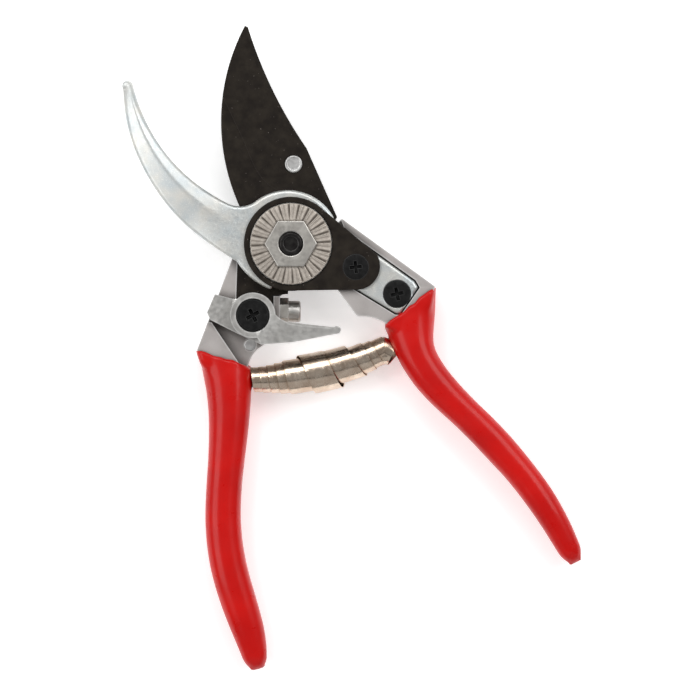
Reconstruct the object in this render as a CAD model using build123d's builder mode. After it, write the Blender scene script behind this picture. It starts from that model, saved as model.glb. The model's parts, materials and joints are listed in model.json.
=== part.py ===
# Bypass pruner, jaws open, lying on its back with its front face up.
# Millimetres. +Z points out of the front face, +Y runs towards the blade's tip. The origin is on
# the pivot axis, in the plane of the table, which the back of the pivot bolt's head lies on.
# The left body is the blade and its handle; the right body is the hook and its handle.
from build123d import *
import os

os.makedirs("parts", exist_ok=True)

# ---- heights, from the table up
HEAD_TOP = 3.2  # front of the pivot bolt's head, and back of both forgings
BLADE_BACK = 8.4  # front of the left handle's eye
BLADE_FRONT = 11.55
HOOK_BACK = 11.6
HOOK_FRONT = 16.2
RIGHT_FRONT = 16.0
COVER_FRONT = 17.8
WHEEL_FRONT = 19.0
NUT_FRONT = 19.9
BOLT_FRONT = 20.3
GRIP_MIDDLE = 8.7
SLIP = 0.05  # gap between faces that slide on each other

# ---- pivot
SHOULDER_RADIUS = 5.0
THREAD_RADIUS = 4.0
BOLT_HEAD_RADIUS = 8.5
NECK_SIDE = 9.0  # square neck that keeps the bolt from turning in the left handle
NECK_CORNER = 0.8
BOLT_CHAMFER = 0.5
BOLT_RECESS_RADIUS = 2.4  # shallow recess in the end of the bolt
BOLT_RECESS_DEPTH = 0.6
EYE_RADIUS = 13.0
BLADE_BOSS_RADIUS = 15.6
RING_RADIUS = 15.6  # cover plate's ring, outside
RING_BORE_RADIUS = 13.7
WHEEL_RADIUS = 13.45
TEETH = 24
NUT_FLATS = 15.3

# ---- places in the plane of the tool
BLADE_TIP = (-15.3, 72.6)
STUD = (0.85, 26.6)
LEVER_PIVOT = (-12.6, -23.7)
DETENT_PIN = (-13.6, -33.5)
COVER_SCREW = (21.5, -7.7)
TANG_SCREW = (35.2, -16.6)
BUMPER = (-22.4, 7.2)  # Y and Z of its axis, which runs along X

# ---- small hardware
SCREW_SHANK = 2.5
SCREW_TIP = 5.6
HEAD_RIM = 0.5  # straight edge of a countersunk head
COVER_SCREW_HEAD = 4.3
TANG_SCREW_HEAD = 4.6
TANG_SCREW_TOP = HOOK_FRONT + 0.3
LEVER_SHOULDER = 3.0
LEVER_HEAD = 5.45
LEVER_SCREW_TIP = 4.7
WASHER_THICKNESS = 0.5
STUD_RADIUS = 2.4
STUD_RING = 2.9
STUD_TOP = BLADE_FRONT + 0.5
STUD_DISH = 2.1  # radius of the dish in the middle of the rivet's head
DETENT_RADIUS = 2.0
DETENT_BACK = 6.0
DETENT_HOLE = 4.2  # bottom of the hole that the detent's spring sits in
DETENT_WIRE = 0.25
BUMPER_FACE = 3.2
BUMPER_RADIUS = 3.6
BUMPER_NUT_FLATS = 8.0
BUMPER_NUT_THICKNESS = 2.9

# ---- lock lever: its arm passes in front of the cover plate and the grips
LEVER_BACK = BLADE_FRONT + SLIP
ARM_BACK = COVER_FRONT + 0.2
LEVER_FRONT = 20.6
LUG_FRONT = 18.4
COUNTERBORE = 18.2
LEDGE_FRONT = 19.4  # lower strip along the arm's upper edge

# ---- left handle
RIM_FRONT = BLADE_FRONT - 0.05
STEP_FRONT = 15.6
LUG_LEFT = -5.8  # lug that carries the bumper
LUG_RIGHT = -3.7
LUG_TOP = -17.3
LUG_LOW = -27.6
LUG_ABOVE_BUMPER = 4.0  # how far it stands out in front of the bumper's axis

# ---- spring between the handles: the ends and middle of its axis, and its radii along it
SPRING_LEFT = (-12.9, -45.1)
SPRING_MIDDLE = (9.3, -42.4)
SPRING_RIGHT = (33.1, -33.5)
SPRING_RADII = {0: 4.2, 0.25: 5.9, 0.45: 6.9, 0.7: 6.2, 1: 4.2}
SPRING_WALL = 1.4
SPRING_BOSS_RADIUS = 2.4
SPRING_BOSS_REACH = 4.0  # into the handle's core, and out into the spring

# ---- grips: centre x, y, half width and half depth of each section, from the collar to the end
COAT = 1.4  # thickness of the vinyl
LIMB_CORNER = 0.44  # corner radius as a share of a section's smaller side
LEFT_GRIP = [
    (-22.9, -38.4, 9.1, 7.9),
    (-20.8, -47.2, 7.6, 8.6),
    (-20.6, -57.9, 6.8, 8.7),
    (-21.7, -73.9, 6.0, 8.7),
    (-22.6, -89.9, 5.9, 8.6),
    (-21.0, -105.9, 6.0, 8.3),
    (-16.4, -121.9, 5.8, 7.4),
    (-13.1, -132.4, 4.9, 6.1),
    (-11.7, -138.4, 3.5, 4.4),
    (-11.2, -141.3, 1.8, 2.4),
]
LEFT_COLLAR = (0.949, -0.315)  # direction across the collar
RIGHT_GRIP = [
    (40.3, -20.7, 10.4, 7.9),
    (40.3, -32.0, 7.1, 8.6),
    (43.7, -40.1, 6.1, 8.7),
    (50.2, -48.6, 5.7, 8.7),
    (61.3, -59.5, 5.3, 8.7),
    (71.5, -70.3, 5.3, 8.5),
    (80.7, -81.6, 5.0, 8.0),
    (88.0, -92.9, 4.5, 7.0),
    (91.9, -100.3, 3.9, 5.6),
    (93.7, -104.0, 2.9, 4.2),
    (94.6, -105.9, 1.5, 2.4),
]
RIGHT_COLLAR = (0.796, 0.606)


def save(piece, name):
    piece.label = name
    export_step(piece, f"parts/{name}.step")


def disc(centre, low, high, radius, mode=Mode.ADD):
    """Add or cut a round of the part being built, between two heights."""
    with BuildSketch(Plane.XY.offset(low)) as circle:
        with Locations(centre):
            Circle(radius)
    extrude(circle.sketch, amount=high - low, mode=mode)


def countersunk_shape(centre, top, head_radius, tip, slack=0, mode=Mode.ADD):
    """Turned shape of a countersunk screw, or the seat for one, larger by the slack."""
    shank = SCREW_SHANK + slack
    head = head_radius + slack
    under_rim = top - HEAD_RIM
    with BuildSketch(Plane(origin=(*centre, 0), x_dir=(1, 0, 0), z_dir=(0, -1, 0))) as half:
        with BuildLine():
            Polyline(
                (0, tip),
                (shank, tip),
                (shank, under_rim - head_radius + SCREW_SHANK),
                (head, under_rim),
                (head, top),
                (0, top),
                close=True,
            )
        make_face()
    revolve(half.sketch, axis=Axis((*centre, 0), (0, 0, 1)), mode=mode)


def cross_recess(centre, top, size, turn):
    """Cross recess, cut down from the top of a screw's head."""
    slot = 0.26 * size
    with BuildSketch(Plane.XY.offset(top)) as cross:
        with Locations(centre):
            Rectangle(size, slot, rotation=turn)
            Rectangle(slot, size, rotation=turn)
    extrude(cross.sketch, amount=-0.4 * size, taper=8, mode=Mode.SUBTRACT)


def section_plane(stations, index, collar):
    """The plane of one section, square to the line of centres; the first lies along the collar."""
    here = Vector(*stations[index][:2])
    if index == 0:
        across = Vector(*collar)
    else:
        after = Vector(*stations[min(index + 1, len(stations) - 1)][:2])
        along = (after - Vector(*stations[index - 1][:2])).normalized()
        across = Vector(-along.Y, along.X)
    origin = Vector(here.X, here.Y, GRIP_MIDDLE)
    return Plane(origin=origin, x_dir=across, z_dir=Vector(across.Y, -across.X))


def limb(stations, collar, inset):
    """Loft the oval limb of a handle; the inset makes it thinner all round."""
    sections = []
    for index, (_, _, half_width, half_depth) in enumerate(stations):
        wide = 2 * max(half_width - inset, 0.5)
        deep = 2 * max(half_depth - inset, 0.6)
        with BuildSketch(section_plane(stations, index, collar)) as section:
            RectangleRounded(wide, deep, LIMB_CORNER * min(wide, deep))
        sections.append(section.sketch)
    loft(sections)


# ---- cutting blade: a plate with a long curved edge, ground on its back, and a tang under the lever
EDGE_HEEL = (-15.2, 8.6)
EDGE_MIDDLE = (-23.15, 44.5)
SPINE_CORNER = (5.2, 31.8)
SPINE_FOOT = (15.3, 9.0)
BEVEL_WIDTH = 8.5
EDGE_LAND = 0.35  # thickness left at the very edge
RELIEF_DEPTH = 0.15
TANG_LEFT = (-18.3, -23.7)
TANG_FOOT = (-12.35, -29.65)
TANG_RIGHT = (-6.4, -23.7)


def tang_outline():
    """The blade's tang, from the boss down to the lever's pivot and back."""
    Polyline((-15.2, 0), (-17.6, -4.0), TANG_LEFT)
    ThreePointArc(TANG_LEFT, TANG_FOOT, TANG_RIGHT)
    Polyline(TANG_RIGHT, (-6.2, -17.0), (-1.0, -16.6), (0, 0), (-15.2, 0))


with BuildPart() as blade:
    with BuildSketch(Plane.XY.offset(BLADE_BACK)):
        with BuildLine():
            edge = ThreePointArc(BLADE_TIP, EDGE_MIDDLE, EDGE_HEEL)
            Polyline(EDGE_HEEL, (0, 0), (14.1, 6.6), SPINE_FOOT, SPINE_CORNER)
            ThreePointArc(SPINE_CORNER, (-5.9, 50.8), (-14.3, 72.0))
            Line((-14.3, 72.0), BLADE_TIP)
        make_face()
        with BuildLine():
            tang_outline()
        make_face()
        Circle(BLADE_BOSS_RADIUS)
    extrude(amount=BLADE_FRONT - BLADE_BACK)
    # the ground bevel is a cone about the centre of the edge's arc
    hub = Vector(edge.arc_center.X, edge.arc_center.Y, 0)
    to_tip = Vector(*BLADE_TIP) - hub
    to_heel = Vector(*EDGE_HEEL) - hub
    with BuildSketch(Plane(origin=hub, x_dir=to_tip, z_dir=to_tip.cross(Vector(0, 0, 1)))):
        with BuildLine():
            Polyline(
                (edge.radius, BLADE_FRONT - EDGE_LAND),
                (edge.radius - BEVEL_WIDTH, BLADE_BACK),
                (edge.radius - BEVEL_WIDTH, BLADE_BACK - 1),
                (edge.radius + 1, BLADE_BACK - 1),
                (edge.radius + 1, BLADE_FRONT - EDGE_LAND),
                close=True,
            )
        make_face()
    revolve(axis=Axis(hub, (0, 0, 1)), revolution_arc=to_tip.get_angle(to_heel) - 8, mode=Mode.SUBTRACT)
    # shallow relief behind the lower half of the edge, run out towards the boss
    with BuildSketch(Plane.XY.offset(BLADE_FRONT)):
        with BuildLine():
            Spline((-23.2, 50.0), (-19.4, 42.0), (-15.0, 32.4), (-11.2, 24.0), (-2.5, 17.0))
            Polyline((-2.5, 17.0), (-2.5, 10.0), (-25.0, 10.0), (-25.0, 50.0), (-23.2, 50.0))
        make_face()
    extrude(amount=-RELIEF_DEPTH, mode=Mode.SUBTRACT)
    disc((0, 0), BLADE_BACK, BLADE_FRONT, SHOULDER_RADIUS, Mode.SUBTRACT)
    disc(LEVER_PIVOT, BLADE_BACK, BLADE_FRONT, LEVER_SHOULDER, Mode.SUBTRACT)
    disc(STUD, BLADE_BACK, BLADE_FRONT, STUD_RADIUS, Mode.SUBTRACT)
save(blade.part, "cutting_blade")

with BuildPart() as stud:
    disc(STUD, BLADE_BACK - 0.3, BLADE_FRONT, STUD_RADIUS)
    disc(STUD, BLADE_FRONT, STUD_TOP, STUD_RING)
    chamfer(stud.edges().group_by(Axis.Z)[-1], 0.25)
    disc(STUD, STUD_TOP - 0.12, STUD_TOP, STUD_DISH, Mode.SUBTRACT)
save(stud.part, "blade_stud")

# ---- hook: curved finger, boss round the pivot, tang in the right handle's pocket
HOOK_TAIL = (-6.9, -15.1)
TANG = [(14.3, 6.8), (41.0, -12.3), (42.3, -14.5), (36.3, -23.1), (34.7, -23.1), (11.3, -8.9)]

with BuildPart() as hook:
    with BuildSketch(Plane.XY.offset(HOOK_BACK)):
        with BuildLine():
            ThreePointArc((-55.7, 51.3), (-54.5, 54.2), (-52.6, 53.2))
            Spline((-52.6, 53.2), (-49.1, 42.8), (-41.1, 29.5), (-29.8, 18.8), (-20.9, 13.4))
            ThreePointArc((-20.9, 13.4), (-16.4, 12.5), (-12.1, 13.9))
            ThreePointArc((-12.1, 13.9), (2.0, 17.6), (14.1, 8.9))
            Line((14.1, 8.9), TANG[0])
            Polyline(*TANG)
            Line(TANG[-1], (9.7, -10.7))
            ThreePointArc((9.7, -10.7), (3.0, -14.1), (-5.4, -13.35))
            Line((-5.4, -13.35), HOOK_TAIL)
            ThreePointArc(HOOK_TAIL, (-13.2, -11.4), (-17.9, -5.9))
            Spline(
                (-17.9, -5.9),
                (-27.1, 0.1),
                (-36.8, 8.1),
                (-46.2, 20.1),
                (-52.3, 32.5),
                (-55.2, 44.5),
                (-55.7, 51.3),
            )
        make_face()
    extrude(amount=HOOK_FRONT - HOOK_BACK)
    disc((0, 0), HOOK_BACK, HOOK_FRONT, SHOULDER_RADIUS + SLIP, Mode.SUBTRACT)
    countersunk_shape(COVER_SCREW, COVER_FRONT, COVER_SCREW_HEAD, HOOK_BACK, SLIP, Mode.SUBTRACT)
    countersunk_shape(TANG_SCREW, TANG_SCREW_TOP, TANG_SCREW_HEAD, HOOK_BACK, SLIP, Mode.SUBTRACT)
save(hook.part, "hook_blade")

# ---- cover plate: ring round the toothed wheel, and an arm screwed down over the hook's tang
with BuildPart() as cover:
    with BuildSketch(Plane.XY.offset(HOOK_FRONT)):
        with BuildLine():
            Line((9.8, 12.1), (28.6, -3.6))
            ThreePointArc((28.6, -3.6), (28.3, -11.6), (21.0, -15.2))
            Polyline((21.0, -15.2), (1.5, -15.5), (0, 0), (9.8, 12.1))
        make_face()
        Circle(RING_RADIUS)
        Circle(RING_BORE_RADIUS, mode=Mode.SUBTRACT)
    extrude(amount=COVER_FRONT - HOOK_FRONT)
    chamfer(cover.edges().group_by(Axis.Z)[-1], 0.2)
    countersunk_shape(COVER_SCREW, COVER_FRONT, COVER_SCREW_HEAD, HOOK_BACK, SLIP, Mode.SUBTRACT)
save(cover.part, "cover_plate")

with BuildPart() as cover_screw:
    countersunk_shape(COVER_SCREW, COVER_FRONT, COVER_SCREW_HEAD, SCREW_TIP)
    cross_recess(COVER_SCREW, COVER_FRONT, 0.95 * COVER_SCREW_HEAD, 6)
save(cover_screw.part, "cover_screw")

with BuildPart() as tang_screw:
    countersunk_shape(TANG_SCREW, TANG_SCREW_TOP, TANG_SCREW_HEAD, SCREW_TIP)
    cross_recess(TANG_SCREW, TANG_SCREW_TOP, 0.95 * TANG_SCREW_HEAD, 12)
save(tang_screw.part, "tang_screw")

# ---- pivot: bolt, toothed wheel, hexagon nut
with BuildPart() as bolt:
    disc((0, 0), 0, HEAD_TOP, BOLT_HEAD_RADIUS)
    with BuildSketch(Plane.XY.offset(HEAD_TOP)):
        RectangleRounded(NECK_SIDE, NECK_SIDE, NECK_CORNER)
    extrude(amount=BLADE_BACK - HEAD_TOP)
    disc((0, 0), BLADE_BACK, HOOK_FRONT, SHOULDER_RADIUS)
    disc((0, 0), HOOK_FRONT, BOLT_FRONT, THREAD_RADIUS)
    chamfer(bolt.edges().group_by(Axis.Z)[0], 0.8)
    chamfer(bolt.edges().group_by(Axis.Z)[-1], BOLT_CHAMFER)
    disc((0, 0), BOLT_FRONT - BOLT_RECESS_DEPTH, BOLT_FRONT, BOLT_RECESS_RADIUS, Mode.SUBTRACT)
save(bolt.part, "pivot_bolt")

GROOVE_WIDTH = 0.8
GROOVE_DEPTH = 0.5
GROOVE_LENGTH = 9.0
with BuildPart() as wheel:
    with BuildSketch(Plane.XY.offset(HOOK_FRONT + SLIP)):
        Circle(WHEEL_RADIUS)
        RegularPolygon(NUT_FLATS / 2, 6, major_radius=False, mode=Mode.SUBTRACT)
    extrude(amount=WHEEL_FRONT - HOOK_FRONT - SLIP)
    with BuildSketch(Plane.XY.offset(WHEEL_FRONT)):
        with PolarLocations(WHEEL_RADIUS, TEETH):
            Rectangle(GROOVE_LENGTH, GROOVE_WIDTH)
    extrude(amount=-GROOVE_DEPTH, mode=Mode.SUBTRACT)
save(wheel.part, "toothed_wheel")

with BuildPart() as nut:
    with BuildSketch(Plane.XY.offset(HOOK_FRONT + SLIP)):
        RegularPolygon(NUT_FLATS / 2 - SLIP, 6, major_radius=False)
        Circle(THREAD_RADIUS, mode=Mode.SUBTRACT)
    extrude(amount=NUT_FRONT - HOOK_FRONT - SLIP)
    chamfer(nut.edges().group_by(Axis.Z)[-1], 0.25)
save(nut.part, "pivot_nut")

# ---- spring's axis, which its coils and both bosses follow
with BuildLine(Plane.XY.offset(GRIP_MIDDLE)) as spring_axis:
    ThreePointArc(SPRING_LEFT, SPRING_MIDDLE, SPRING_RIGHT)


def spring_boss(end, outward):
    """Round boss on a handle's core that the spring's end coil sits over."""
    along = (spring_axis.line % end) * outward
    base = spring_axis.line @ end - along * SPRING_BOSS_REACH
    with BuildSketch(Plane(origin=base, z_dir=along)) as circle:
        Circle(SPRING_BOSS_RADIUS)
    extrude(circle.sketch, amount=2 * SPRING_BOSS_REACH)


# ---- left handle: eye behind the blade, rim round the tang, step beside the lever, lug, core
OUTER_TOP = (-19.4, -4.4)
OUTER_LOW = (-31.2, -35.3)
BODY_LOW_LEFT = (-29.6, -38.9)  # just inside the grip
BODY_LOW_RIGHT = (-15.2, -43.6)
INNER_CURVE = [(-14.0, -39.4), (-12.8, -36.8), (-9.8, -34.0)]

with BuildPart() as left_handle:
    with BuildSketch(Plane.XY.offset(HEAD_TOP)):
        with BuildLine():
            Polyline((-9.5, 8.9), OUTER_TOP, OUTER_LOW, BODY_LOW_LEFT, BODY_LOW_RIGHT, INNER_CURVE[0])
            ThreePointArc(*INNER_CURVE)
            Polyline(
                INNER_CURVE[-1],
                (-4.6, -29.4),
                (LUG_RIGHT, LUG_LOW),
                (LUG_RIGHT, LUG_TOP),
                (8.9, -9.5),
                (-9.5, 8.9),
            )
        make_face()
        Circle(EYE_RADIUS)
    extrude(amount=BLADE_BACK - HEAD_TOP)
    # rim in the plane of the blade's tang, which lies in a pocket of it
    with BuildSketch(Plane.XY.offset(BLADE_BACK)):
        with BuildLine():
            Polyline((-17.0, -6.4), OUTER_TOP, OUTER_LOW, BODY_LOW_LEFT, BODY_LOW_RIGHT, INNER_CURVE[0])
            ThreePointArc(*INNER_CURVE)
            Polyline(INNER_CURVE[-1], (-4.6, -29.4), (-6.0, -27.0), (-12.0, -24.0), (-17.0, -6.4))
        make_face()
    extrude(amount=RIM_FRONT - BLADE_BACK)
    with BuildSketch(Plane.XY.offset(BLADE_BACK)):
        with BuildLine():
            tang_outline()
        make_face()
        offset(amount=0.15)
    extrude(amount=BLADE_FRONT - BLADE_BACK, mode=Mode.SUBTRACT)
    # step beside the lever
    with BuildSketch(Plane.XY.offset(RIM_FRONT)):
        with BuildLine():
            Polyline(
                (-27.6, -25.9),
                OUTER_LOW,
                BODY_LOW_LEFT,
                (-18.0, -42.6),
                (-17.5, -39.2),
                (-26.3, -26.1),
                close=True,
            )
        make_face()
    extrude(amount=STEP_FRONT - RIM_FRONT)
    with BuildSketch(Plane.XY.offset(HEAD_TOP)):
        with Locations(((LUG_LEFT + LUG_RIGHT) / 2, (LUG_TOP + LUG_LOW) / 2)):
            Rectangle(LUG_RIGHT - LUG_LEFT, LUG_TOP - LUG_LOW)
    extrude(amount=BUMPER[1] + LUG_ABOVE_BUMPER - HEAD_TOP)
    limb(LEFT_GRIP, LEFT_COLLAR, COAT)
    spring_boss(0, 1)
    with BuildSketch(Plane.XY.offset(HEAD_TOP)):
        RectangleRounded(NECK_SIDE + 2 * SLIP, NECK_SIDE + 2 * SLIP, NECK_CORNER)
    extrude(amount=BLADE_BACK - HEAD_TOP, mode=Mode.SUBTRACT)
    disc(LEVER_PIVOT, LEVER_SCREW_TIP - 0.2, BLADE_BACK, SCREW_SHANK, Mode.SUBTRACT)
    disc(DETENT_PIN, DETENT_HOLE, RIM_FRONT, DETENT_RADIUS, Mode.SUBTRACT)
    with BuildSketch(Plane.YZ.offset(LUG_LEFT)):
        with Locations(BUMPER):
            Circle(SCREW_SHANK)
    extrude(amount=LUG_RIGHT - LUG_LEFT, mode=Mode.SUBTRACT)
save(left_handle.part, "left_handle")

with BuildPart() as left_grip:
    limb(LEFT_GRIP, LEFT_COLLAR, 0)
    add(left_handle.part, mode=Mode.SUBTRACT)
save(left_grip.part, "left_grip")

# ---- right handle: rim, pocket for the hook's tang, flange that meets the bumper, core
BOSS_CLEARANCE = 16.3
POCKET_GAP = 0.4
HOOK_CLEARANCE = 18.4
FLANGE_CURVE = [(32.9, -27.3), (28.6, -24.9), (22.6, -24.0)]

with BuildPart() as right_handle:
    with BuildSketch(Plane.XY.offset(HEAD_TOP)):
        with BuildLine():
            Polyline((15.0, 6.6), (16.9, 8.4), (47.8, -14.1), (46.2, -19.5), (35.6, -28.6), FLANGE_CURVE[0])
            ThreePointArc(*FLANGE_CURVE)
            Polyline(FLANGE_CURVE[-1], (21.7, -23.6), (9.5, -7.1), (15.0, 6.6))
        make_face()
        Circle(BOSS_CLEARANCE, mode=Mode.SUBTRACT)
    extrude(amount=RIGHT_FRONT - HEAD_TOP)
    limb(RIGHT_GRIP, RIGHT_COLLAR, COAT)
    with BuildSketch(Plane.XY.offset(HOOK_BACK)):
        with BuildLine():
            Polyline(*TANG, close=True)
        make_face()
        offset(amount=POCKET_GAP)
        Circle(HOOK_CLEARANCE)
    extrude(amount=HOOK_FRONT - HOOK_BACK, mode=Mode.SUBTRACT)
    spring_boss(1, -1)
    disc(COVER_SCREW, SCREW_TIP - 0.2, HOOK_BACK, SCREW_SHANK, Mode.SUBTRACT)
    disc(TANG_SCREW, SCREW_TIP - 0.2, HOOK_BACK, SCREW_SHANK, Mode.SUBTRACT)
save(right_handle.part, "right_handle")

with BuildPart() as right_grip:
    limb(RIGHT_GRIP, RIGHT_COLLAR, 0)
    add(right_handle.part, mode=Mode.SUBTRACT)
save(right_grip.part, "right_grip")

# ---- lock lever and what holds it
RING_OUTSIDE = 7.5
LUG_OUTLINE = [
    (-13.5, -18.5),
    (-19.4, -18.2),
    (-25.2, -16.7),
    (-27.8, -22.8),
    (-26.7, -25.2),
    (-17.6, -29.8),
    (-9.9, -33.4),
    (-6.0, -27.0),
]

with BuildPart() as lever:
    disc(LEVER_PIVOT, LEVER_BACK, LEVER_FRONT, RING_OUTSIDE)
    with BuildSketch(Plane.XY.offset(LEVER_BACK)):
        with BuildLine():
            Polyline(*LUG_OUTLINE, close=True)
        make_face()
    extrude(amount=LUG_FRONT - LEVER_BACK)
    with BuildSketch(Plane.XY.offset(ARM_BACK)):
        with BuildLine():
            ThreePointArc((-7.0, -20.2), (-4.9, -23.6), (-1.6, -25.8))
            Line((-1.6, -25.8), (14.3, -27.6))
            ThreePointArc((14.3, -27.6), (16.6, -28.6), (15.4, -29.8))
            Polyline((15.4, -29.8), (0.9, -32.6), (-9.9, -33.4), (-13, -27.0), (-7.0, -20.2))
        make_face()
    extrude(amount=LEVER_FRONT - ARM_BACK)
    with BuildSketch(Plane.XY.offset(LEDGE_FRONT)):
        with BuildLine():
            Polyline(
                (-3.2, -24.6),
                (-0.8, -26.4),
                (4.1, -27.2),
                (12.6, -27.8),
                (14.6, -27.4),
                (17.0, -24.6),
                close=True,
            )
        make_face()
    extrude(amount=LEVER_FRONT - LEDGE_FRONT, mode=Mode.SUBTRACT)
    disc(LEVER_PIVOT, LEVER_BACK, LEVER_FRONT, LEVER_SHOULDER + SLIP, Mode.SUBTRACT)
    disc(LEVER_PIVOT, COUNTERBORE, LEVER_FRONT, LEVER_HEAD + 0.2, Mode.SUBTRACT)
save(lever.part, "lock_lever")

WASHER_BACK = COUNTERBORE + SLIP
HEAD_SEAT = WASHER_BACK + WASHER_THICKNESS
LEVER_HEAD_FRONT = LEVER_FRONT - 0.2

with BuildPart() as washer:
    disc(LEVER_PIVOT, WASHER_BACK, HEAD_SEAT, LEVER_HEAD - 0.2)
    disc(LEVER_PIVOT, WASHER_BACK, HEAD_SEAT, LEVER_SHOULDER, Mode.SUBTRACT)
save(washer.part, "lever_washer")

with BuildPart() as lever_screw:
    disc(LEVER_PIVOT, HEAD_SEAT, LEVER_HEAD_FRONT, LEVER_HEAD)
    chamfer(lever_screw.edges().group_by(Axis.Z)[-1], 0.3)
    disc(LEVER_PIVOT, BLADE_BACK, HEAD_SEAT, LEVER_SHOULDER)
    disc(LEVER_PIVOT, LEVER_SCREW_TIP, BLADE_BACK, SCREW_SHANK)
    cross_recess(LEVER_PIVOT, LEVER_HEAD_FRONT, 0.85 * LEVER_HEAD, 28)
save(lever_screw.part, "lever_screw")

with BuildPart() as detent_pin:
    disc(DETENT_PIN, DETENT_BACK, RIM_FRONT, DETENT_RADIUS)
    chamfer(detent_pin.edges().group_by(Axis.Z)[-1], 0.2)
save(detent_pin.part, "detent_pin")

with BuildPart() as detent_spring:
    coil_height = DETENT_BACK - DETENT_HOLE - 2 * DETENT_WIRE
    coil_foot = (*DETENT_PIN, DETENT_HOLE + DETENT_WIRE)
    with BuildLine():
        coil = Helix(coil_height / 2, coil_height, DETENT_RADIUS - 2 * DETENT_WIRE, center=coil_foot)
    with BuildSketch(Plane(origin=coil @ 0, z_dir=coil % 0)):
        Circle(DETENT_WIRE)
    sweep()
save(detent_spring.part, "detent_spring")

# ---- bumper that stops the handles: a button head on a threaded stud, and its lock nut
with BuildPart() as bumper:
    with BuildSketch(Plane.YZ.offset(LUG_RIGHT + BUMPER_NUT_THICKNESS)):
        with Locations(BUMPER):
            Circle(BUMPER_RADIUS)
    extrude(amount=BUMPER_FACE - LUG_RIGHT - BUMPER_NUT_THICKNESS)
    fillet(bumper.edges().group_by(Axis.X)[-1], 0.8)
    with BuildSketch(Plane.YZ.offset(LUG_LEFT)):
        with Locations(BUMPER):
            Circle(SCREW_SHANK)
    extrude(amount=LUG_RIGHT + BUMPER_NUT_THICKNESS - LUG_LEFT)
save(bumper.part, "bumper_stud")

with BuildPart() as bumper_nut:
    with BuildSketch(Plane.YZ.offset(LUG_RIGHT)):
        with Locations(BUMPER):
            RegularPolygon(BUMPER_NUT_FLATS / 2, 6, major_radius=False)
            Circle(SCREW_SHANK, mode=Mode.SUBTRACT)
    extrude(amount=BUMPER_NUT_THICKNESS)
save(bumper_nut.part, "bumper_nut")


# ---- spring: a hollow double cone along its axis, which stands for its coiled strip
def spring_cone(inset, mode):
    sections = []
    for share, radius in SPRING_RADII.items():
        place = spring_axis.line @ share
        with BuildSketch(Plane(origin=place, z_dir=spring_axis.line % share)) as section:
            Circle(radius - inset)
        sections.append(section.sketch)
    loft(sections, mode=mode)


with BuildPart() as spring:
    spring_cone(0, Mode.ADD)
    spring_cone(SPRING_WALL, Mode.SUBTRACT)
save(spring.part, "volute_spring")
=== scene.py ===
import json
import math
import bmesh
import bpy
import numpy as np
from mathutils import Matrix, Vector, noise
from mathutils.bvhtree import BVHTree
from mathutils.kdtree import KDTree


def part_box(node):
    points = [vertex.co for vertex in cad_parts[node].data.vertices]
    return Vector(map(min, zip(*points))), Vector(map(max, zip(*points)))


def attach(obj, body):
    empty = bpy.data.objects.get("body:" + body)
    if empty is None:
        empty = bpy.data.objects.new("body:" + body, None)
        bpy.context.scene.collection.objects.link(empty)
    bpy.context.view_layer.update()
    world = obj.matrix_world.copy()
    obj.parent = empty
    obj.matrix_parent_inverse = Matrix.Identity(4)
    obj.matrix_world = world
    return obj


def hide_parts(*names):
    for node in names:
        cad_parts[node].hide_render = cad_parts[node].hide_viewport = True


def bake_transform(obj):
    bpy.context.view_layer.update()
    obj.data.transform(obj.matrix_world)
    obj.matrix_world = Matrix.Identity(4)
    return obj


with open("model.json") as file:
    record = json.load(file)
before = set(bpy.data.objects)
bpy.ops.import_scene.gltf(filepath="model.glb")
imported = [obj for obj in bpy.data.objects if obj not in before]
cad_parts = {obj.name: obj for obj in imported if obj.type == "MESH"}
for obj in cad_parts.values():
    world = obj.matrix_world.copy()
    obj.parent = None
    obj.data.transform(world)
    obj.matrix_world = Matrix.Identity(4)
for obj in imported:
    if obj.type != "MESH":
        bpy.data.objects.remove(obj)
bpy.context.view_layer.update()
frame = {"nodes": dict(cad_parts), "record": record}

MM = 0.001
scene = bpy.context.scene
nodes = frame["nodes"]
node_body = {name: body for body, names in frame["record"]["behaviour"]["bodies"].items() for name in names}
node_slot = {part["node"]: part["material_slot"] for part in frame["record"]["subparts"]}


# ---------------------------------------------------------------- camera, floor and light

VIEW_WIDTH = 232.8 * MM  # what the picture takes in, at the height of the handles
VIEW_CENTRE = Vector((19.6, -35.2, 9.0)) * MM
LENS = 400  # long, so that the raised pivot isn't pushed outwards by perspective
FARTHEST = 20


def make_camera():
    data = bpy.data.cameras.new("camera")
    data.lens = LENS
    data.clip_end = FARTHEST
    camera = bpy.data.objects.new("camera", data)
    distance = VIEW_WIDTH * LENS / data.sensor_width
    camera.location = VIEW_CENTRE + Vector((0, 0, distance))
    scene.collection.objects.link(camera)
    scene.camera = camera


def softbox(name, place, size, power):
    """A square area light that faces the middle of the pruner."""
    data = bpy.data.lights.new(name, "AREA")
    data.size = size
    data.energy = power
    light = bpy.data.objects.new(name, data)
    light.location = place
    light.rotation_euler = (VIEW_CENTRE - Vector(place)).to_track_quat("-Z", "Y").to_euler()
    scene.collection.objects.link(light)


SKY = 0.62
# brightness of the sky against how far it lies towards +Y (1) or -Y (-1)
SKY_BANDS = [
    (-1, 0.8),
    (-0.54, 0.8),
    (-0.51, 0.12),
    (-0.45, 0.12),
    (-0.42, 0.5),
    (0.3, 0.5),
    (0.5, 1.3),
    (0.76, 1.3),
    (0.84, 0.07),
    (1, 0.07),
]
HORIZON = (0.03, 0.15)  # height in the sky between which the tent's dark foot turns into bright cloth
FOOT_LEVEL = 0.1


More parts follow.
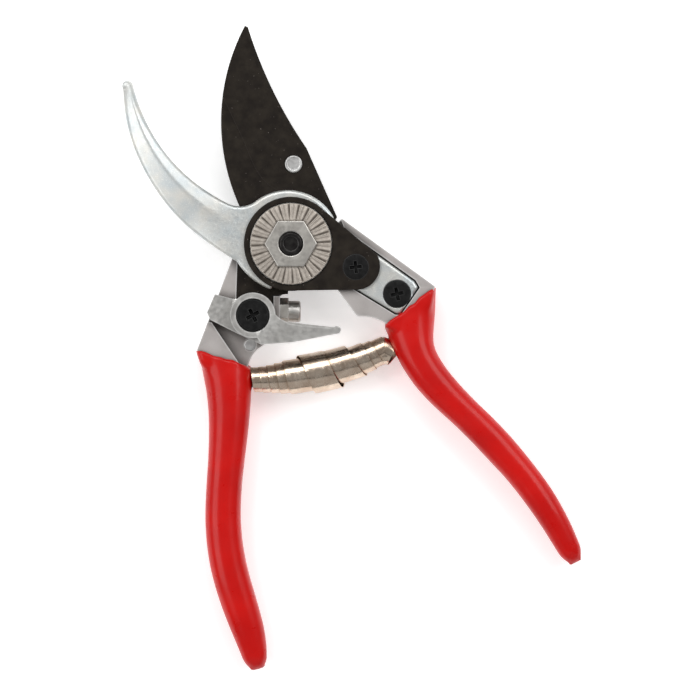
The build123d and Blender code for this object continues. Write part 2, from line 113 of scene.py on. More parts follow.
def make_sky():
    """A light tent: bright cloth with a dark seam on the near side, and a dark far side."""
    world = bpy.data.worlds.new("world")
    world.use_nodes = True
    tree = world.node_tree
    parts = tree.nodes.new("ShaderNodeSeparateXYZ")
    tree.links.new(tree.nodes.new("ShaderNodeTexCoord").outputs["Generated"], parts.inputs[0])
    bands = tree.nodes.new("ShaderNodeFloatCurve")
    tree.links.new(parts.outputs["Y"], bands.inputs["Value"])
    curve = bands.mapping.curves[0]
    bands.mapping.clip_min_x = -1
    bands.mapping.clip_max_y = 2
    for point in curve.points:
        point.location = (point.location.x, 0)
    first, last = curve.points[0], curve.points[-1]
    first.location, last.location = SKY_BANDS[0], SKY_BANDS[-1]
    for place, level in SKY_BANDS[1:-1]:
        curve.points.new(place, level)
    for point in curve.points:
        point.handle_type = "VECTOR"
    bands.mapping.update()
    gap = tree.nodes.new("ShaderNodeMapRange")
    gap.interpolation_type = "SMOOTHSTEP"
    tree.links.new(parts.outputs["Z"], gap.inputs["Value"])
    gap.inputs["From Min"].default_value = HORIZON[0]
    gap.inputs["From Max"].default_value = HORIZON[1]
    gap.inputs["To Min"].default_value = FOOT_LEVEL
    gap.inputs["To Max"].default_value = 1.0
    level = tree.nodes.new("ShaderNodeMath")
    level.operation = "MULTIPLY"
    tree.links.new(bands.outputs["Value"], level.inputs[0])
    tree.links.new(gap.outputs["Result"], level.inputs[1])
    tree.links.new(level.outputs[0], tree.nodes["Background"].inputs["Strength"])
    tree.nodes["Background"].inputs["Color"].default_value = (SKY, SKY, SKY, 1)
    scene.world = world


FLOOR_HALF = 2.0
FLOOR_GAP = 0.1 * MM  # keeps the floor off the faces that rest on it
PAPER_GLOW = 0.4  # lifts the paper to the white of a lit backdrop


def make_room():
    corners = [(x * FLOOR_HALF, y * FLOOR_HALF, 0) for x, y in ((-1, -1), (1, -1), (1, 1), (-1, 1))]
    mesh = bpy.data.meshes.new("floor")
    mesh.from_pydata(corners, [], [(0, 1, 2, 3)])
    floor = bpy.data.objects.new("floor", mesh)
    floor.location.z = -FLOOR_GAP
    scene.collection.objects.link(floor)
    paper = Finish("white_paper")
    paper.colour((0.96, 0.96, 0.96, 1))
    paper.roughness(0.85)
    paper.bump(paper.noise(900), 0.05, 0.02)
    paper.shader.inputs["Emission Color"].default_value = (1, 1, 1, 1)
    paper.shader.inputs["Emission Strength"].default_value = PAPER_GLOW
    floor.data.materials.append(paper.material)
    make_sky()
    softbox("left", (-0.75, -0.1, 0.75), 0.7, 3.8)
    softbox("right", (0.65, 0.3, 0.75), 0.6, 3.5)
    softbox("far", (-0.1, 0.7, 0.85), 0.5, 2.5)
    softbox("lamp", (-0.35, 0.35, 1.1), 0.05, 0.7)
    scene.view_settings.view_transform = "Standard"


# ---------------------------------------------------------------- materials


class Finish:
    """A material in the making: a Principled shader, and short ways to hang textures on it.

    Texture scales are waves per metre, so 1000 has about one wave per millimetre. Colours are linear.
    """

    def __init__(self, name, metallic=0.0, specular=0.5):
        self.material = bpy.data.materials.new(name)
        self.material.use_nodes = True
        self.tree = self.material.node_tree
        self.shader = self.tree.nodes["Principled BSDF"]
        self.shader.inputs["Metallic"].default_value = metallic
        self.shader.inputs["Specular IOR Level"].default_value = specular
        self.place = self.tree.nodes.new("ShaderNodeTexCoord").outputs["Object"]

    def node(self, kind, **sockets):
        made = self.tree.nodes.new(kind)
        for socket, value in sockets.items():
            self.set(made.inputs[socket.replace("_", " ")], value)
        return made

    def set(self, socket, value):
        if isinstance(value, bpy.types.NodeSocket):
            self.tree.links.new(value, socket)
        else:
            socket.default_value = value

    def stretched(self, scale):
        return self.node("ShaderNodeMapping", Vector=self.place, Scale=scale).outputs["Vector"]

    def noise(self, scale, detail=3.0, stretch=(1, 1, 1)):
        made = self.node("ShaderNodeTexNoise", Vector=self.stretched(stretch), Scale=scale, Detail=detail)
        return made.outputs["Fac"]

    def remap(self, value, low, high, to_low=0.0, to_high=1.0):
        made = self.node("ShaderNodeMapRange", Value=value)
        sockets = {"From Min": low, "From Max": high, "To Min": to_low, "To Max": to_high}
        for socket, number in sockets.items():
            made.inputs[socket].default_value = number
        return made.outputs["Result"]

    def mixed(self, share, first, second):
        made = self.tree.nodes.new("ShaderNodeMix")
        made.data_type = "RGBA"
        self.set(made.inputs["Factor"], share)
        for socket, colour in ((made.inputs[6], first), (made.inputs[7], second)):
            self.set(socket, (*colour, 1) if isinstance(colour, tuple) else colour)
        return made.outputs[2]

    def edges(self, reach, inside=True):
        """1 near outer edges if inside, else 1 in corners and under overhangs."""
        made = self.tree.nodes.new("ShaderNodeAmbientOcclusion")
        made.inside = inside
        made.only_local = inside
        made.samples = 8
        made.inputs["Distance"].default_value = reach
        return self.remap(made.outputs["AO"], 1.0, 0.35)

    def colour(self, value):
        self.set(self.shader.inputs["Base Color"], value)

    def roughness(self, value):
        self.set(self.shader.inputs["Roughness"], value)

    def bump(self, height, strength, distance):
        """Relief of the given height texture, which is distance millimetres deep."""
        made = self.node("ShaderNodeBump", Height=height, Strength=strength, Distance=distance * MM)
        self.set(self.shader.inputs["Normal"], made.outputs["Normal"])


def blasted_alloy():
    """Forged aluminium, bead blasted: fine pits, cloudy tone, painted shade in corners and under overhangs,
    brighter along rubbed edges.
    """
    made = Finish("blasted_alloy", metallic=0.75)
    clouds = made.remap(made.noise(90), 0.3, 0.7)
    tone = made.mixed(clouds, (0.43, 0.40, 0.385), (0.51, 0.48, 0.465))
    # painted shade: near black in corners and under overhangs, up to 3 mm out
    tone = made.mixed(made.edges(3 * MM, inside=False), tone, (0.1, 0.09, 0.085))
    tone = made.mixed(made.remap(made.noise(2600), 0.62, 0.75, 0, 0.35), tone, (0.3, 0.29, 0.28))
    made.colour(made.mixed(made.edges(0.5 * MM), tone, (0.82, 0.81, 0.8)))
    made.roughness(made.remap(made.noise(400), 0.3, 0.7, 0.42, 0.58))
    made.bump(made.noise(2200, 4), 0.35, 0.08)
    return made.material


def cast_alloy():
    """Die-cast zinc lever: smoother than the forgings, with flow marks and polished edges."""
    made = Finish("cast_alloy", metallic=0.85)
    marks = made.remap(made.noise(160, 5), 0.35, 0.7)
    tone = made.mixed(marks, (0.43, 0.42, 0.40), (0.58, 0.57, 0.55))
    made.colour(made.mixed(made.edges(0.6 * MM), tone, (0.8, 0.79, 0.77)))
    made.roughness(made.remap(made.noise(700), 0.3, 0.7, 0.3, 0.48))
    made.bump(made.noise(1200, 3), 0.25, 0.06)
    return made.material


def black_coating():
    """Non-stick coating on steel: near black, pebbled, with small light specks."""
    made = Finish("black_coating", specular=0.12)
    clouds = made.remap(made.noise(300, 5), 0.35, 0.7)
    tone = made.mixed(clouds, (0.012, 0.009, 0.007), (0.024, 0.019, 0.014))
    specks = made.remap(made.noise(1500, 1), 0.76, 0.8)
    tone = made.mixed(specks, tone, (0.16, 0.14, 0.13))
    made.colour(made.mixed(made.edges(0.3 * MM), tone, (0.045, 0.038, 0.034)))
    made.roughness(made.remap(made.noise(800), 0.3, 0.7, 0.36, 0.6))
    made.bump(made.noise(3000, 3), 0.4, 0.05)
    return made.material


def hook_steel():
    """Drop-forged steel, satin plated, with painted glints for a fine sparkle and a cool cast."""
    made = Finish("hook_steel", metallic=0.9)
    clouds = made.remap(made.noise(140), 0.35, 0.65)
    tone = made.mixed(clouds, (0.56, 0.60, 0.61), (0.69, 0.68, 0.64))
    # painted glints: near-white specks in the colour stand for the sparkle of light off the grain
    painted_glints = made.remap(made.noise(3500, 1), 0.6, 0.75, 0, 0.6)
    made.colour(made.mixed(painted_glints, tone, (1, 1, 0.96)))
    made.roughness(made.remap(made.noise(1100), 0.3, 0.7, 0.36, 0.5))
    made.bump(made.noise(2200, 3), 0.8, 0.06)
    return made.material


def red_vinyl():
    """Dipped vinyl: glossy, faintly uneven, with slow waves left by the dip."""
    made = Finish("red_vinyl", specular=0.22)
    clouds = made.remap(made.noise(60, 2), 0.35, 0.65)
    tone = made.mixed(clouds, (0.53, 0.002, 0.001), (0.63, 0.004, 0.002))
    flecks = made.remap(made.noise(1300, 2), 0.6, 0.72, 0, 0.25)
    made.colour(made.mixed(flecks, tone, (0.42, 0.003, 0.003)))
    made.roughness(made.remap(made.noise(250), 0.3, 0.7, 0.26, 0.4))
    made.bump(made.noise(170, 2), 0.12, 0.4)
    made.shader.inputs["Coat Weight"].default_value = 0.15
    made.shader.inputs["Coat Roughness"].default_value = 0.12
    return made.material


def nickel_strip():
    """Spring strip: bright nickel over steel, rolling lines along it, painted brown shade where the coils
    lie under one another.
    """
    made = Finish("nickel_strip", metallic=1)
    clouds = made.remap(made.noise(220, 4), 0.35, 0.7)
    tone = made.mixed(clouds, (0.56, 0.43, 0.33), (0.78, 0.66, 0.54))
    # painted shade: straw-brown where coils lie under their neighbours and in the corners between them
    made.colour(made.mixed(made.edges(1.2 * MM, inside=False), tone, (0.34, 0.21, 0.12)))
    made.roughness(made.remap(made.noise(900, 2), 0.3, 0.7, 0.14, 0.3))
    made.bump(made.noise(1500, 3, (0.15, 1, 1)), 0.08, 0.03)
    return made.material


def turned_steel(name, dark, light, rough=(0.28, 0.42)):
    """Turned or ground steel: fine tool marks, cloudy tone and bright worn edges."""
    made = Finish(name, metallic=1)
    tone = made.mixed(made.remap(made.noise(350, 4), 0.35, 0.7), dark, light)
    worn = tuple(min(1, 2.2 * part + 0.05) for part in light)
    made.colour(made.mixed(made.edges(0.3 * MM), tone, worn))
    made.roughness(made.remap(made.noise(1000), 0.3, 0.7, *rough))
    made.bump(made.noise(9000, 2), 0.15, 0.03)
    return made.material


def sintered_steel():
    """The wheel's pressed powder steel: tan on the teeth, with painted shade down in the grooves."""
    made = Finish("sintered_steel", metallic=0.7)
    clouds = made.remap(made.noise(900, 4), 0.35, 0.7)
    tone = made.mixed(clouds, (0.46, 0.41, 0.36), (0.58, 0.53, 0.47))
    # painted shade: dark down in the grooves and corners of the teeth
    made.colour(made.mixed(made.edges(0.9 * MM, inside=False), tone, (0.10, 0.085, 0.075)))
    made.roughness(made.remap(made.noise(1200), 0.3, 0.7, 0.4, 0.6))
    made.bump(made.noise(3200, 3), 0.35, 0.05)
    return made.material


def black_screw():
    """Black oxide screw head: dark, a little oily, worn grey on its rim."""
    made = Finish("black_screw", specular=0.14)
    clouds = made.remap(made.noise(700, 4), 0.35, 0.7)
    tone = made.mixed(clouds, (0.006, 0.006, 0.006), (0.013, 0.013, 0.013))
    made.colour(made.mixed(made.edges(0.25 * MM), tone, (0.12, 0.12, 0.12)))
    made.roughness(made.remap(made.noise(900), 0.3, 0.7, 0.3, 0.5))
    made.bump(made.noise(2500, 2), 0.2, 0.03)
    return made.material


FINISHES = {
    "handle_alloy": blasted_alloy(),
    "lever_alloy": cast_alloy(),
    "grip_vinyl": red_vinyl(),
    "coated_steel": black_coating(),
    "hook_steel": hook_steel(),
    "spring_steel": nickel_strip(),
    "wheel_steel": sintered_steel(),
    "screw_steel": black_screw(),
    "nut_steel": turned_steel("satin_zinc", (0.42, 0.40, 0.37), (0.54, 0.52, 0.48), (0.34, 0.5)),
    "bright_steel": turned_steel("bright_steel", (0.62, 0.61, 0.6), (0.8, 0.8, 0.79)),
    "bumper_steel": turned_steel("bumper_steel", (0.46, 0.45, 0.43), (0.64, 0.62, 0.59), (0.36, 0.5)),
    "bolt_steel": turned_steel("bolt_steel", (0.02, 0.018, 0.018), (0.05, 0.048, 0.046), (0.3, 0.45)),
}


# ---------------------------------------------------------------- pieces


def add_piece(name, mesh, *stands_for):
    """Put a mesh in the scene as a piece that stands for CAD nodes, in their finish."""
    for polygon in mesh.polygons:
        polygon.use_smooth = True
    piece = bpy.data.objects.new(name, mesh)
    scene.collection.objects.link(piece)
    node = stands_for[0]
    mesh.materials.clear()
    mesh.materials.append(FINISHES[node_slot[node]])
    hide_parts(*stands_for)
    return piece


WELD = 2e-6  # corners this near are one corner that the CAD's faces each have a copy of
FLAT = math.radians(1)  # faces that meet at less than this are parts of one flat face
SHARP = math.radians(28)  # edges sharper than this are rounded
ENDS_LEFT_OUT = 0.002  # share of a node's length, at each end, where a section is too small to trust


def welded(node):
    """A copy of a CAD node's mesh with its split corners joined."""
    copy = bmesh.new()
    copy.from_mesh(nodes[node].data)
    bmesh.ops.remove_doubles(copy, verts=copy.verts, dist=WELD)
    return copy


def softened(node, width):
    """The CAD node with its sharp edges rounded, as they are on a real forged or turned piece."""
    copy = welded(node)
    bmesh.ops.dissolve_limit(
        copy, angle_limit=FLAT, use_dissolve_boundaries=False, verts=copy.verts, edges=copy.edges
    )
    sharp = [edge for edge in copy.edges if len(edge.link_faces) == 2 and edge.calc_face_angle() > SHARP]
    bmesh.ops.bevel(
        copy,
        geom=sharp,
        offset=width * MM,
        offset_type="OFFSET",
        segments=2,
        profile=0.5,
        affect="EDGES",
        clamp_overlap=True,
    )
    bmesh.ops.triangulate(copy, faces=[face for face in copy.faces if len(face.verts) > 4])
    mesh = bpy.data.meshes.new(node)
    copy.to_mesh(mesh)
    copy.free()
    piece = add_piece("fine_" + node, mesh, node)
    weighted = piece.modifiers.new("flat faces", "WEIGHTED_NORMAL")
    weighted.weight = 100
    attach(piece, node_body[node])


def smoothstep(share):
    share = np.clip(share, 0, 1)
    return share * share * (3 - 2 * share)


def sections(node, direction, count):
    """Middles and half sizes of a CAD node's cross-sections, at even steps along a direction."""
    mesh = nodes[node].data
    places = np.empty(3 * len(mesh.vertices))
    mesh.vertices.foreach_get("co", places)
    places = places.reshape(-1, 3)
    ends = np.empty(2 * len(mesh.edges), int)
    mesh.edges.foreach_get("vertices", ends)
    first, second = places[ends[::2]], places[ends[1::2]]
    before, after = first @ direction, second @ direction
    middles, halves = [], []
    low, high = before.min(), before.max()
    for level in low + (high - low) * np.linspace(ENDS_LEFT_OUT, 1 - ENDS_LEFT_OUT, count):
        cut = (before - level) * (after - level) < 0
        share = (level - before[cut]) / (after[cut] - before[cut])
        points = first[cut] + share[:, None] * (second[cut] - first[cut])
        middles.append((points.min(0) + points.max(0)) / 2)
        halves.append((points.max(0) - points.min(0)) / 2)
    return np.array(middles), np.array(halves)


def surface_of(node):
    """A CAD node's surface, for rays to hit."""
    copy = welded(node)
    tree = BVHTree.FromBMesh(copy)
    copy.free()
    return tree


def tube_mesh(name, rings, end_point):
    """A mesh of quads between rings of equally many points, closed at the end by a point."""
    around = len(rings[0])
    points = [point for ring in rings for point in ring] + [end_point]
    faces = []
    for ring in range(len(rings) - 1):
        for step in range(around):
            here, beside = ring * around + step, ring * around + (step + 1) % around
            faces.append((here, beside, beside + around, here + around))
    last = (len(rings) - 1) * around
    for step in range(around):
        faces.append((last + step, last + (step + 1) % around, len(points) - 1))
    mesh = bpy.data.meshes.new(name)
    mesh.from_pydata([tuple(point) for point in points], [], faces)
    return mesh


# ---------------------------------------------------------------- grips

# the rolled lip at the collar, in millimetres: how far along the handle, how far off the vinyl's surface
LIP = [(0.0, -2.6), (0.05, -0.8), (0.25, -0.2), (0.7, 0.12), (1.4, 0.1), (2.4, 0.0)]
SECTIONS = 90  # cross-sections that a sleeve's middle line is taken from
AROUND = 96
RING_STEP = 1.1 * MM
FIRST_RING = 3.4 * MM  # first evenly spaced ring after the lip
RAY = 40 * MM  # rays towards the CAD sleeve start this far from its middle line
FIRST_RAY = 0.4 * MM  # no ray nearer the collar's edge than this, where it could miss
LEVEL_RUN = 3 * MM  # the sleeve's direction is taken over this far each way
SLANT_END = 9 * MM  # sections nearer the collar than this are cut by its slant, and are left out
COLLAR_RUN = 12 * MM  # how far the collar's slant and its waves carry into the grip
METAL_RUN = 5 * MM  # how far the forging's square shoulders reach into the grip
THINNEST = 0.6 * MM  # vinyl over those shoulders
BOSS_BAND = 0.4  # sine of the angle either side of the middle where the spring's boss stands out
END_ROUND = 6.5 * MM  # length of the rounded end
STRAIGHT_STEPS = 6  # the last sections, in whose place the sleeve runs straight to its tip
END_RINGS = 9
SMOOTHINGS = 4
COLLAR_WAVE = 1.3 * MM
WAVE_LOBES = 2.1  # radius of the circle through the noise that the collar's wave follows
WAVE_FORWARD = 0.45  # noise above this carries the collar away from the pivot, and below it towards it
WAVE_APART = 99  # takes the noise of sleeves of different length from different places
SAG = 0.04 * MM  # unevenness of the dipped surface
SAG_SCALE = 160
NARROWEST = 0.1  # share of the sleeve's width that the rounded end closes down to before its last point


def grip(node, handle, collar_low, collar_high, run):
    """Dipped sleeve, drawn tight over the CAD grip: wavy collar with a rolled lip, rounded end."""
    middles, _ = sections(node, np.array(run), SECTIONS)
    height = middles[SECTIONS // 2][2]
    low, high = Vector((*collar_low, 0)) * MM, Vector((*collar_high, 0)) * MM
    start = (low + high) / 2
    start.z = height
    slant = np.array((high - low).normalized())
    beyond = (middles - np.array(start)) @ np.array(run) > SLANT_END
    path = np.vstack([np.array(start), middles[beyond]])
    kept, tip = path[: -STRAIGHT_STEPS], path[-1]
    heading = kept[-1] - kept[-4]
    to_tip = (tip - kept[-1]) @ np.array(run) / (heading @ np.array(run))
    path = np.vstack([kept, kept[-1] + heading * to_tip])
    lengths = np.concatenate([[0], np.cumsum(np.linalg.norm(np.diff(path, axis=0), axis=1))])
    total = lengths[-1]
    even = np.arange(FIRST_RING, total - END_ROUND, RING_STEP)
    tail = total - END_ROUND * (1 - np.sin(np.linspace(0, 1, END_RINGS) * math.pi / 2))[:-1]
    stations = np.concatenate([[along * MM for along, _ in LIP], even, tail])

    def middle(along):
        return np.array([np.interp(along, lengths, path[:, axis]) for axis in range(3)])

    vinyl, metal = surface_of(node), surface_of(handle)
    angles = np.arange(AROUND) * 2 * math.pi / AROUND
    radii = np.zeros((len(stations), AROUND))
    least = np.zeros_like(radii)
    frames = []
    for ring, along in enumerate(stations):
        ahead = middle(min(along + LEVEL_RUN, total)) - middle(max(along - LEVEL_RUN, 0))
        square = np.array((-ahead[1], ahead[0], 0)) / np.linalg.norm(ahead)
        turned = smoothstep(along / COLLAR_RUN)
        across = slant * (1 - turned) + square * turned
        across /= np.linalg.norm(across)
        frames.append((middle(along), across, np.array((across[1], -across[0], 0))))
        origin = middle(min(max(along, FIRST_RAY), total - END_ROUND))
        for step, angle in enumerate(angles):
            out = across * math.cos(angle) + np.array((0, 0, math.sin(angle)))
            distance = vinyl.ray_cast(Vector(origin + out * RAY), Vector(-out), RAY)[3]
            radii[ring, step] = RAY - distance if distance else radii[ring - 1, step]
            distance = metal.ray_cast(Vector(origin + out * RAY), Vector(-out), RAY)[3]
            if distance and along < METAL_RUN and abs(math.sin(angle)) > BOSS_BAND:
                least[ring, step] = RAY - distance + THINNEST
    for axis, shift in ((0, 1), (0, -1), (1, 1), (1, -1)):
        least = np.maximum(least, np.roll(least, shift, axis=axis))
    radii = np.maximum(radii, least)
    for _ in range(SMOOTHINGS):
        beside = (np.roll(radii, 1, axis=1) + np.roll(radii, -1, axis=1)) / 2
        radii[1:-1] = radii[1:-1] / 2 + (radii[:-2] + radii[2:]) / 8 + beside[1:-1] / 4
        radii = np.maximum(radii, least)
    rings = []
    lowest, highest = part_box(node)
    for ring, along in enumerate(stations):
        origin, across, onward = frames[ring]
        to_end = max(total - along, 0)
        closing = max(math.sqrt(1 - (1 - min(to_end / END_ROUND, 1)) ** 2), NARROWEST)
        lift = LIP[ring][1] * MM if ring < len(LIP) else 0
        loop = []
        for step, angle in enumerate(angles):
            out = across * math.cos(angle) + np.array((0, 0, math.sin(angle)))
            turn = Vector((WAVE_LOBES * math.cos(angle), WAVE_LOBES * math.sin(angle), total * WAVE_APART))
            slide = noise.noise(turn) - WAVE_FORWARD
            slide *= COLLAR_WAVE * (1 - smoothstep(along / COLLAR_RUN))
            sag = SAG * (noise.noise(Vector(origin + out * radii[ring, step]) * SAG_SCALE) - 1)
            place = origin + onward * slide + out * (radii[ring, step] * closing + sag + lift)
            loop.append(np.clip(place, lowest, highest))
        rings.append(loop)
    piece = add_piece("soft_" + node, tube_mesh(node, rings, middle(total)), node)
    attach(piece, node_body[node])


# ---------------------------------------------------------------- spring between the handles

STRIP_WIDTH = 8.6 * MM
STRIP_THICKNESS = 0.28 * MM
MIDDLE_STANDS_OUT = 0.12 * MM  # the middle coil lies over both its neighbours
END_RADIUS = 4.2 * MM  # of the smallest coils, at both ends
BEDDED = 0.8 * MM  # how far the end coils go into the sleeves
TURNS = 11.0
STEPS_PER_TURN = 48
# how fast the strip advances, against the turn: close coils, wide ones in the middle, close coils
PITCH_TURNS = [0, 4.2, 4.8, 6.3, 6.9, TURNS]
PITCHES = [1, 1, 2.9, 2.9, 1.05, 1.05]
# cross-section of the strip: shares of its width and of its thickness, its edges worn round
STRIP_PROFILE = [
    (-0.5, -0.14),
    (-0.47, 0),
    (-0.2, 0.02),
    (0.2, 0.02),
    (0.47, 0),
    (0.5, -0.14),
    (0.48, -1),
    (-0.48, -1),
]
CONES_MEET = (0.36, 0.24)  # where the strip's wide edge changes sides, and over how much of the spring
MIDDLE_TURNS = 0.7  # spread of the middle coil that stands out
HEADING_RUN = 2 * MM
STRIP_EDGE = math.radians(50)  # the strip's surface is creased at edges sharper than this


def end_heading(middles, step):
    """Direction in which the spring's middle line leaves its end, step sections apart."""
    ahead = middles[-1] - middles[-1 - step]
    return ahead / np.linalg.norm(ahead)


def volute():
    """One flat strip wound into two cones that meet at their wide ends."""
    middles, halves = sections("volute_spring", np.array((1.0, 0, 0)), 80)
    middles[0] += end_heading(middles[::-1], 4) * BEDDED
    middles[-1] += end_heading(middles, 4) * BEDDED
    lengths = np.concatenate([[0], np.cumsum(np.linalg.norm(np.diff(middles, axis=0), axis=1))])
    total = lengths[-1]
    steps = int(TURNS * STEPS_PER_TURN) + 1
    turns = np.linspace(0, TURNS, steps)
    advance = np.concatenate([[0], np.cumsum(np.interp(turns[1:], PITCH_TURNS, PITCHES))])
    centres = STRIP_WIDTH / 2 + advance / advance[-1] * (total - STRIP_WIDTH)
    rings = []
    for turn, centre in zip(turns, centres):
        side = 1 - 2 * smoothstep((centre / total - CONES_MEET[0]) / CONES_MEET[1])
        shown = centre - side * STRIP_WIDTH / 2
        outermost = MIDDLE_STANDS_OUT * math.exp(-(((turn - TURNS / 2) / MIDDLE_TURNS) ** 2))
        radius = max(np.interp(shown, lengths, halves[:, 2]), END_RADIUS) + outermost
        angle = 2 * math.pi * turn
        loop = []
        for across, depth in STRIP_PROFILE:
            along = np.clip(centre + across * STRIP_WIDTH, 0, total)
            place = np.array([np.interp(along, lengths, middles[:, axis]) for axis in range(3)])
            ahead, behind = (
                np.array([np.interp(along + reach, lengths, middles[:, axis]) for axis in range(2)])
                for reach in (HEADING_RUN, -HEADING_RUN)
            )
            heading = (ahead - behind) / np.linalg.norm(ahead - behind)
            out = np.array((-heading[1] * math.cos(angle), heading[0] * math.cos(angle), math.sin(angle)))
            loop.append(place + out * (radius + depth * STRIP_THICKNESS))
        rings.append(loop)
    piece = add_piece("wound_strip", tube_mesh("wound_strip", rings, rings[-1][0]), "volute_spring")
    sharpened = piece.modifiers.new("strip edges", "EDGE_SPLIT")
    sharpened.split_angle = STRIP_EDGE
    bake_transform(piece)


# ---------------------------------------------------------------- hook


def voxelled(node, cell):
    """A CAD node's shape as an even mesh of small faces, lightly smoothed."""
    copy = welded(node)
    mesh = bpy.data.meshes.new(node)
    copy.to_mesh(mesh)
    copy.free()
    stand_in = bpy.data.objects.new("stand_in", mesh)
    scene.collection.objects.link(stand_in)
    remesh = stand_in.modifiers.new("even", "REMESH")
    remesh.mode = "VOXEL"
    remesh.voxel_size = cell
    even = bpy.data.meshes.new_from_object(stand_in.evaluated_get(bpy.context.evaluated_depsgraph_get()))
    bpy.data.objects.remove(stand_in)
    smooth = bmesh.new()
    smooth.from_mesh(even)
    for _ in range(2):
        bmesh.ops.smooth_vert(smooth, verts=smooth.verts, factor=0.5, use_axis_x=True, use_axis_y=True)
    smooth.to_mesh(even)
    smooth.free()
    return even


def tree_of_points(points):
    tree = KDTree(len(points))
    for index, point in enumerate(points):
        tree.insert(point, index)
    tree.balance()
    return tree


HOOK_ROUND = 1.1 * MM  # rounding of the forged edges
OUTER_FALL = 1.5 * MM  # how far the finger's two faces fall away from its ridge
INNER_FALL = 1.0 * MM
RIDGE = (0.60, 0.68)  # where the flat ridge lies, as shares of the width from the outer edge
FLAT_TO = 20 * MM  # distance from the pivot up to which the face is flat
RIDGED_FROM = 36 * MM
STEEPEST_FALL = 0.3  # most that a face falls, as a share of the finger's width there
FORMED_FROM = 0.4  # share of the thickness from which the front is shaped, so the back stays flat
HOLE_REACH = {"pivot_bolt": 6 * MM, "cover_screw": 5.4 * MM, "tang_screw": 5.4 * MM}
FACES_UP = 0.99  # least upward part of a front face's normal
UPRIGHT = 0.3  # most upward part of a side wall's normal
RIM_STEP = 0.5 * MM
HOOK_CELL = 0.3 * MM


def hook_rims():
    """Points along the front face's outline, split into its inner and outer edge, holes left out."""
    holes = []
    for fastener, reach in HOLE_REACH.items():
        lowest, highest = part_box(fastener)
        holes.append(((Vector(lowest) + Vector(highest)) / 2, reach))
    cad = welded("hook_blade")
    inner, outer = [], []
    for edge in cad.edges:
        flat = [face for face in edge.link_faces if face.normal.z > FACES_UP]
        walls = [face for face in edge.link_faces if abs(face.normal.z) < UPRIGHT]
        if not flat or not walls:
            continue
        first, second = edge.verts[0].co, edge.verts[1].co
        pieces = max(1, round((second - first).length / RIM_STEP))
        for step in range(pieces):
            point = first.lerp(second, (step + 0.5) / pieces)
            point.z = 0
            if any((point - Vector((hole.x, hole.y, 0))).length < reach for hole, reach in holes):
                continue
            side = inner if walls[0].normal.x + walls[0].normal.y > 0 else outer
            side.append(point)
    cad.free()
    return tree_of_points(inner), tree_of_points(outer)


def hook():
    """Forged hook: a flat ridge along the finger, faces falling away from it, rounded edges."""
    low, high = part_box("hook_blade")
    inner_edge, outer_edge = hook_rims()
    mesh = voxelled("hook_blade", HOOK_CELL)
    middle = low[2] + FORMED_FROM * (high[2] - low[2])
    for vertex in mesh.vertices:
        if vertex.co.z <= middle:
            continue
        flat_place = Vector((vertex.co.x, vertex.co.y, 0))
        from_inner = inner_edge.find(flat_place)[2]
        from_outer = outer_edge.find(flat_place)[2]
        width = from_inner + from_outer
        share = from_outer / width
        fall = OUTER_FALL * max(0, (RIDGE[0] - share) / RIDGE[0])
        fall += INNER_FALL * max(0, (share - RIDGE[1]) / (1 - RIDGE[1]))
        fall = min(fall, STEEPEST_FALL * width)
        fall *= smoothstep((flat_place.length - FLAT_TO) / (RIDGED_FROM - FLAT_TO))
        if flat_place.x >= 0:
            fall = 0  # the tang beyond the pivot is flat
        edge = min(from_inner, from_outer, HOOK_ROUND)
        fall += HOOK_ROUND - math.sqrt(HOOK_ROUND**2 - (HOOK_ROUND - edge) ** 2)
        vertex.co.z -= fall * (vertex.co.z - middle) / (high[2] - middle)
    piece = add_piece("forged_hook", mesh, "hook_blade")
    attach(piece, "hook_side")


# ---------------------------------------------------------------- toothed wheel

WHEEL_TEETH = 24
SAMPLES_PER_TOOTH = 16
# rings of the wheel: share of its radius, millimetres behind its front, how deep the grooves are there
WHEEL_RINGS = [
    (0.52, 0, 0),
    (0.56, 0, 0.3),
    (0.66, 0, 0.6),
    (0.8, 0, 0.85),
    (0.955, 0, 1),
    (0.985, 0.12, 0.6),
    (1.0, 0.4, 0),
    (1.0, 2.3, 0),
    (0.6, 2.3, 0),
]
GROOVE = 0.7 * MM
# the grooves of one tooth: where it lies across the tooth, half its width, its share of the full depth
DEEP_GROOVE = (0.2, 0.16, 1)
FAINT_GROOVE = (0.72, 0.12, 0.6)
TOOTH_SLOPE = 0.25
TOOTH_EDGE = math.radians(25)  # the wheel is creased at edges sharper than this


def groove_depth(across, groove):
    place, half_width, depth = groove
    return depth * max(0, 1 - abs(across - place) / half_width)


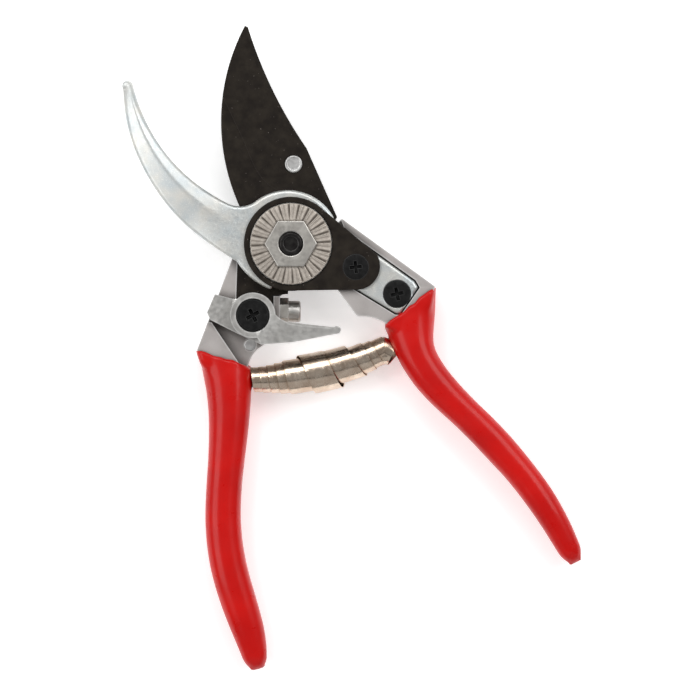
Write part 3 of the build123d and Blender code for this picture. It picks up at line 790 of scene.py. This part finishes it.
def wheel():
    """Pressed wheel: each tooth has a deep groove on its flank and a faint one down its middle."""
    low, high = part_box("toothed_wheel")
    radius = high[0]
    rings = []
    for share, fall, depth in WHEEL_RINGS:
        loop = []
        for step in range(WHEEL_TEETH * SAMPLES_PER_TOOTH):
            angle = 2 * math.pi * step / (WHEEL_TEETH * SAMPLES_PER_TOOTH)
            across = step % SAMPLES_PER_TOOTH / SAMPLES_PER_TOOTH
            deep = groove_depth(across, DEEP_GROOVE)
            faint = groove_depth(across, FAINT_GROOVE)
            height = high[2] - fall * MM - depth * GROOVE * max(deep, faint, TOOTH_SLOPE * across)
            loop.append((share * radius * math.cos(angle), share * radius * math.sin(angle), height))
        rings.append(loop)
    mesh = tube_mesh("wheel", rings, (0, 0, low[2]))
    piece = add_piece("pressed_wheel", mesh, "toothed_wheel")
    split = piece.modifiers.new("tooth edges", "EDGE_SPLIT")
    split.split_angle = TOOTH_EDGE
    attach(piece, node_body["toothed_wheel"])


# ---------------------------------------------------------------- the whole pruner

# where each grip's collar starts and ends on the handle's two edges, in millimetres
LEFT_COLLAR = ((-31.5, -35.5), (-14.3, -41.3))
RIGHT_COLLAR = ((32.0, -27.0), (48.6, -14.4))
LEFT_RUN = (0, -1, 0)  # the way each handle runs, away from the pivot
RIGHT_RUN = (0.62, -0.785, 0)

# millimetres of rounding on the edges of the pieces that are shown as the CAD has them
SOFT_EDGES = {
    "left_handle": 0.35,
    "right_handle": 0.35,
    "cutting_blade": 0.12,
    "cover_plate": 0.15,
    "lock_lever": 0.5,
    "pivot_bolt": 0.15,
    "pivot_nut": 0.2,
    "cover_screw": 0.1,
    "tang_screw": 0.15,
    "lever_screw": 0.15,
    "lever_washer": 0.05,
    "blade_stud": 0.1,
    "detent_pin": 0.1,
    "bumper_stud": 0.15,
    "bumper_nut": 0.2,
}

make_camera()
make_room()
for name, width in SOFT_EDGES.items():
    softened(name, width)
grip("left_grip", "left_handle", *LEFT_COLLAR, LEFT_RUN)
grip("right_grip", "right_handle", *RIGHT_COLLAR, RIGHT_RUN)
volute()
hook()
wheel()
for name, node in nodes.items():
    node.data.materials.clear()
    node.data.materials.append(FINISHES[node_slot[name]])
